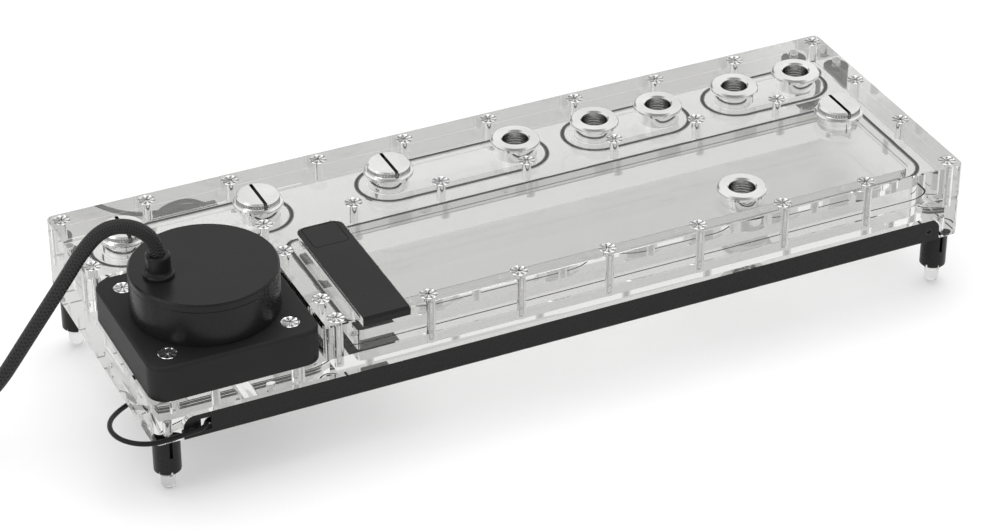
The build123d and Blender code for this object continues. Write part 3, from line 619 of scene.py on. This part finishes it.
def screw_rings(shank, head, length, land=0.3, plain=5.5, half_pitch=0.35, thread_depth=0.16):
    """Radius and height of each ring, from the recess's floor to the tip, in millimetres."""
    neck = -land - (head - shank)
    plain_end = neck - plain
    count = int((length + plain_end - 0.9) / half_pitch)
    heights = [plain_end + (plain - 0.1), plain_end + 0.2]
    heights += [plain_end - half_pitch * i for i in range(count)]
    recess_floor = [(0.45, -1.5), (lambda a: 0.62 + 0.75 * arm(a), -1.25)]
    recess_mouth = [(lambda a: 0.72 + arm(a), -0.12)]
    dish = [
        (0.56 * head, lambda a: -0.05 - 0.2 * facet(a)),
        (0.84 * head, lambda a: -0.02 - 0.32 * facet(a)),
    ]
    rim = [(0.93 * head, 0.0), (head, -0.1), (head, -land)]
    rings = recess_floor + recess_mouth + dish + rim + [(shank + 0.05, neck)]
    for i, height in enumerate(heights):
        rings.append((shank if i < 2 or i % 2 else shank - thread_depth, height))
    rings.append((shank - 0.5, -length))
    return rings


def screw_form(name, shank, head, length, sides=32):
    """A closed mesh of a screw that hangs from the origin, with sizes in millimetres."""
    form = bmesh.new()
    loops = []
    for radius, height in screw_rings(shank, head, length):
        loop = []
        for k in range(sides):
            angle = 2 * pi * k / sides
            reach = at(radius, angle)
            spot = (reach * cos(angle), reach * sin(angle), at(height, angle))
            loop.append(form.verts.new([c / 1000 for c in spot]))
        loops.append(loop)
    for upper, lower in zip(loops, loops[1:]):
        for k in range(sides):
            form.faces.new((upper[k - 1], upper[k], lower[k], lower[k - 1]))
    form.faces.new(loops[0])
    form.faces.new(loops[-1])
    bmesh.ops.recalc_face_normals(form, faces=form.faces)
    mesh = bpy.data.meshes.new(name)
    form.to_mesh(mesh)
    form.free()
    mesh.shade_smooth()
    mesh.set_sharp_from_angle(angle=radians(28))
    own = mesh.attributes.new("own_place", "FLOAT_VECTOR", "POINT")
    for vertex, spot in zip(mesh.vertices, own.data):
        spot.vector = vertex.co
    obj = bpy.data.objects.new(name, mesh)
    bpy.context.scene.collection.objects.link(obj)
    print(name, len(mesh.polygons), "faces")
    return obj


# %% [markdown]
# ## Painted flashes on the screw heads
# A pressed head flashes bright and dark round its recess. The form's facets alone are too small for
# that at this distance, so the material paints a fan of dark blades on the head: a painted
# reflection. Each screw keeps its own coordinates in an attribute, because in the finished mesh all
# of them share one object.


# %% Screw heads with a painted reflection
fan_blades, head_depth = 8.0, 0.0005
painted_flash_tone = (0.16, 0.16, 0.16)


def screw_material(name):
    """Steel whose head has painted dark blades, a painted reflection, round each screw's own axis.
    """
    material = grained(name, (0.86, 0.86, 0.86), roughness=0.2, spread=0.06, Metallic=1.0)
    tree = material.node_tree
    place = wire(tree, "ShaderNodeAttribute", attribute_name="own_place")
    own = split(tree, place.outputs["Vector"])
    angle = maths(tree, "ARCTAN2", own["Y"], own["X"])
    fan = maths(tree, "SINE", maths(tree, "MULTIPLY", angle, fan_blades))
    head = maths(tree, "GREATER_THAN", own["Z"], -head_depth)
    # The dark blades are a painted reflection on the head.
    dark = maths(tree, "MULTIPLY", eased(tree, fan, (-0.6, 0.3), (0.8, 0.0)), head)
    shaded(tree, tree.nodes["Principled BSDF"], dark, painted_flash_tone)
    return material


paint["steel_painted_flash"] = screw_material("steel_painted_flash")
print("fan", fan_blades, "blades")

# %% [markdown]
# ## Trees of nodes
# Copies could be placed by a loop, but a Geometry Nodes tree with named inputs can be opened and
# changed later. `tree_with` starts a tree, `end_tree` ends it, and `grown` runs it on seed points
# and keeps the result as a plain mesh, because the exported model can't hold a live modifier.


# %% Tree helpers
def tree_with(name, sockets):
    """A Geometry Nodes tree with a geometry at each end and named inputs."""
    tree = bpy.data.node_groups.new(name, "GeometryNodeTree")
    tree.interface.new_socket("Geometry", in_out="INPUT", socket_type="NodeSocketGeometry")
    for label, kind in sockets:
        tree.interface.new_socket(label, in_out="INPUT", socket_type="NodeSocket" + kind)
    tree.interface.new_socket("Geometry", in_out="OUTPUT", socket_type="NodeSocketGeometry")
    return tree, tree.nodes.new("NodeGroupInput"), tree.nodes.new("NodeGroupOutput")


def end_tree(tree, given, result, instances):
    """Makes the instances real, gives them the material and ends the tree."""
    real = wire(tree, "GeometryNodeRealizeInstances", {"Geometry": instances})
    made = wire(
        tree,
        "GeometryNodeSetMaterial",
        {"Geometry": real.outputs["Geometry"], "Material": given.outputs["Finish"]},
    )
    tree.links.new(made.outputs["Geometry"], result.inputs["Geometry"])


def grown(name, tree, values, seed_points, body):
    """Runs a tree on points and leaves a plain mesh that rides on a body."""
    mesh = bpy.data.meshes.new(name)
    mesh.from_pydata(seed_points, [], [])
    obj = bpy.data.objects.new(name, mesh)
    bpy.context.scene.collection.objects.link(obj)
    modifier = obj.modifiers.new(name, "NODES")
    modifier.node_group = tree
    for item in tree.interface.items_tree:
        if item.in_out == "INPUT" and item.name in values:
            modifier[item.identifier] = values[item.name]
    graph = bpy.context.evaluated_depsgraph_get()
    result = bpy.data.meshes.new_from_object(obj.evaluated_get(graph))
    obj.modifiers.clear()
    obj.data = result
    result.name = name
    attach(obj, body)
    print(name, len(result.polygons), "faces")
    return obj


# %% [markdown]
# ## Screws at their places
# A driver leaves each screw at some turn of its own, so a random value with a fixed seed turns
# each copy about its axis. The clamp screws stand in three rows, beside the pump and at the right
# end, and the pump's stand at its corners. Each set takes the place of its CAD node.

# %% Screw tree
scatter, scatter_given, scatter_result = tree_with(
    "screws_at_places", [("Screw", "Object"), ("Turn seed", "Int"), ("Finish", "Material")]
)
one_screw = wire(scatter, "GeometryNodeObjectInfo", {"Object": scatter_given.outputs["Screw"]})
driven = wire(
    scatter,
    "FunctionNodeRandomValue",
    {"Seed": scatter_given.outputs["Turn seed"], 0: (0, 0, 0), 1: (0, 0, 2 * pi)},
    data_type="FLOAT_VECTOR",
)
spread = wire(
    scatter,
    "GeometryNodeInstanceOnPoints",
    {
        "Points": scatter_given.outputs["Geometry"],
        "Instance": one_screw.outputs["Geometry"],
        "Rotation": driven.outputs["Value"],
    },
)
end_tree(scatter, scatter_given, scatter_result, spread.outputs["Instances"])
print(scatter.name, len(scatter.nodes), "nodes")

# %% Screws
plate_top_mm, shank_radius_mm = 37.55, 2.0
screw_columns_mm = [5.6, 45.2, 84.8, 127.33, 169.86, 212.39, 256.81, 299.34, 341.87, 384.4]
back_row, middle_row, front_row = 127.4, 86.6, 5.6
clamp_places_mm = [(x, back_row) for x in screw_columns_mm]
clamp_places_mm += [(x, middle_row) for x in screw_columns_mm]
clamp_places_mm += [(x, front_row) for x in screw_columns_mm[2:]]
clamp_places_mm += [(84.8, 21.6), (84.8, 63.0), (384.4, 46.1)]
pump_middle, pump_reach = (39.0, 38.0), 27.2
pump_places_mm = [
    (pump_middle[0] + i * pump_reach, pump_middle[1] + j * pump_reach)
    for i in (-1, 1)
    for j in (-1, 1)
]


def screw_set(name, places, head, length, turn_seed, node):
    """Screws of one size at their places in the plate's top, in place of a CAD node."""
    form = screw_form(name + "_form", shank_radius_mm, head, length)
    values = {"Screw": form, "Turn seed": turn_seed, "Finish": paint["steel_painted_flash"]}
    spots = placed([(x, y, plate_top_mm) for x, y in places])
    obj = grown(name, scatter, values, spots, "plate")
    bpy.data.objects.remove(form)
    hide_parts(node)


screw_set(
    "clamp_screws", clamp_places_mm, head=3.9, length=22.0, turn_seed=7, node="plate_screws"
)
screw_set(
    "pump_corner_screws", pump_places_mm, head=4.2, length=26.0, turn_seed=3, node="pump_screws"
)

# %% [markdown]
# ## Knurled plug heads
# A stop plug is tightened by hand before its slot is used, so its rim is knurled: two sets of thin
# ridges lean opposite ways round the head and cross. A bump could show them, but it would not be
# part of the mesh. The ridges are one small cylinder, put round a circle of points. Their metal is
# a little rougher than the head's and painted darker, painted shade for the grooves between the
# ridges, and each ring of them rides on its own plug and turns with it.

# %% Knurl tree
knurl, knurl_given, knurl_result = tree_with(
    "knurled_rim",
    [
        ("Centre", "Vector"),
        ("Rim radius", "Float"),
        ("Ridge radius", "Float"),
        ("Ridge height", "Float"),
        ("Ridges", "Int"),
        ("Slant", "Float"),
        ("Finish", "Material"),
    ],
)
rim = wire(
    knurl,
    "GeometryNodeMeshCircle",
    {"Vertices": knurl_given.outputs["Ridges"], "Radius": knurl_given.outputs["Rim radius"]},
)
ridge = wire(
    knurl,
    "GeometryNodeMeshCylinder",
    {
        "Vertices": 6,
        "Radius": knurl_given.outputs["Ridge radius"],
        "Depth": knurl_given.outputs["Ridge height"],
    },
)
step = maths(knurl, "DIVIDE", 2 * pi, knurl_given.outputs["Ridges"])
heading = maths(knurl, "MULTIPLY", wire(knurl, "GeometryNodeInputIndex").outputs[0], step)
both_ways = wire(knurl, "GeometryNodeJoinGeometry")
for sign in (1.0, -1.0):
    slant = maths(knurl, "MULTIPLY", knurl_given.outputs["Slant"], sign)
    lean = wire(knurl, "ShaderNodeCombineXYZ", {"X": slant, "Z": heading})
    leaning = wire(
        knurl,
        "GeometryNodeInstanceOnPoints",
        {
            "Points": rim.outputs["Mesh"],
            "Instance": ridge.outputs["Mesh"],
            "Rotation": lean.outputs[0],
        },
    )
    knurl.links.new(leaning.outputs["Instances"], both_ways.inputs["Geometry"])
moved = wire(
    knurl,
    "GeometryNodeTransform",
    {"Geometry": both_ways.outputs["Geometry"], "Translation": knurl_given.outputs["Centre"]},
)
end_tree(knurl, knurl_given, knurl_result, moved.outputs["Geometry"])
print(knurl.name, len(knurl.nodes), "nodes")

# %% Knurls
# The knurl's darker colour is painted shade between the ridges.
paint["knurl_metal_painted_shade"] = grained(
    "knurl_metal_painted_shade", (0.36, 0.36, 0.355), roughness=0.3, spread=0.04, Metallic=1.0
)
head_top_mm, knurl_middle_mm = 41.6, 39.95
plug_places_mm = [(26.2, 105.0), (89.3, 105.0), (152.4, 105.0), (362.3, 64.6)]
for number, (x, y) in enumerate(plug_places_mm, start=1):
    plug = frame["nodes"][f"stop_plug_{number}"]
    top_middle = placed([(x, y, head_top_mm)])[0]
    plug.material_slots[0].material = plug_material(f"plug_metal_{number}", top_middle)
    values = {
        "Centre": placed([(x, y, knurl_middle_mm)])[0],
        "Rim radius": 0.00958,
        "Ridge radius": 0.00024,
        "Ridge height": 0.0019,
        "Ridges": 48,
        "Slant": radians(28),
        "Finish": paint["knurl_metal_painted_shade"],
    }
    grown(f"plug_knurl_{number}", knurl, values, [], f"plug_{number}_turn")

# %% [markdown]
# ## Floor
# In the photograph the plate stands on paper that is nearly white, with soft shadows. A pale floor
# alone would be too dark in them, so about a third of its colour is plain white light for rays that
# the camera sends, straight, off metal or through the acrylic. Rays that light the object's dull
# surfaces see an ordinary pale floor.

# %% Floor
floor_reach, floor_height, floor_glow = 4, -0.0002, 0.32
white = (1, 1, 1, 1)

stage_mesh = bpy.data.meshes.new("stage_floor")
stage_form = bmesh.new()
corners = [
    stage_form.verts.new((x * floor_reach, y * floor_reach, floor_height))
    for x, y in ((-1, -1), (1, -1), (1, 1), (-1, 1))
]
stage_form.faces.new(corners)
stage_form.to_mesh(stage_mesh)
stage_form.free()
stage_floor = bpy.data.objects.new("stage_floor", stage_mesh)
bpy.context.scene.collection.objects.link(stage_floor)

floor_material, floor_tree, floor_shader = new_material(
    "stage_floor", Base_Color=(0.9, 0.9, 0.9, 1), Roughness=0.9, Specular_IOR_Level=0.1
)
stage_mesh.materials.append(floor_material)
seen = any_ray(floor_tree, "Is Camera Ray", "Is Transmission Ray", "Is Glossy Ray")
glow = wire(floor_tree, "ShaderNodeEmission", {"Color": white, "Strength": 1.0})
pale = mixed(
    floor_tree,
    maths(floor_tree, "MULTIPLY", seen, floor_glow),
    floor_shader.outputs[0],
    glow.outputs[0],
)
floor_tree.links.new(pale, floor_tree.nodes["Material Output"].inputs["Surface"])
print("floor", 2 * floor_reach, "m wide")

# %% [markdown]
# ## Room
# The room is white where it is seen straight or through the acrylic, and even where it lights dull
# surfaces. What the metal mirrors is a studio with a wide white band at eye height, tall soft
# panels with gaps between them under it and a dim ceiling, because a turned metal face is told by
# the streaks in it. An image of a studio could do this too, but a wave of the bearing is enough.

# %% Room
panels, panel_shift, even_strength = 3.0, 0.4, 0.85

world = bpy.data.worlds.new("surround")
bpy.context.scene.world = world
world.use_nodes = True
sky = world.node_tree


def background(strength):
    """A white background shader of a strength."""
    return wire(sky, "ShaderNodeBackground", {"Color": white, "Strength": strength}).outputs[0]


way = split(sky, wire(sky, "ShaderNodeTexCoord").outputs["Generated"])
bearing = maths(sky, "ARCTAN2", way["Y"], way["X"])
wave = maths(sky, "SINE", maths(sky, "MULTIPLY_ADD", bearing, panels, panel_shift))
walls = eased(sky, wave, (-0.5, 0.4), (0.3, 1.0))
rise = eased(sky, way["Z"], (0.3, 0.5), (0.0, 1.0))
band = wire(sky, "ShaderNodeMix", {"Factor": rise, "A": walls, "B": 1.0}).outputs["Result"]
ceiling = eased(sky, way["Z"], (0.7, 0.85), (1.0, 0.3))
mirrored = background(maths(sky, "MULTIPLY", band, ceiling))
unseen = mixed(sky, any_ray(sky, "Is Glossy Ray"), background(even_strength), mirrored)
straight = any_ray(sky, "Is Camera Ray", "Is Transmission Ray")
room = mixed(sky, straight, unseen, background(1.0))
sky.links.new(room, sky.nodes["World Output"].inputs["Surface"])
print("room", len(sky.nodes), "nodes")

# %% [markdown]
# ## Lamps
# A large soft lamp above the back gives the floor its light, and a smaller one on the left models
# the motor's round side. Area lamps are used because their size sets how soft the shadows are.


# %% Lamps
def soft_light(name, place, aim, size, power):
    """A rectangular area lamp that looks at a point."""
    data = bpy.data.lights.new(name, "AREA")
    data.shape = "RECTANGLE"
    data.size, data.size_y = size
    data.energy = power
    obj = bpy.data.objects.new(name, data)
    obj.location = place
    direction = Vector(aim) - Vector(place)
    obj.rotation_euler = direction.to_track_quat("-Z", "Y").to_euler()
    bpy.context.scene.collection.objects.link(obj)
    print(name, power, "W")


soft_light("top_light", place=(0.1, 0.2, 1.2), aim=(0, 0, 0), size=(1.2, 0.9), power=8.0)
soft_light("left_light", place=(-1.2, -0.2, 0.7), aim=(0, 0, 0.03), size=(0.8, 0.8), power=3.0)
bpy.context.scene.view_settings.view_transform = "Standard"
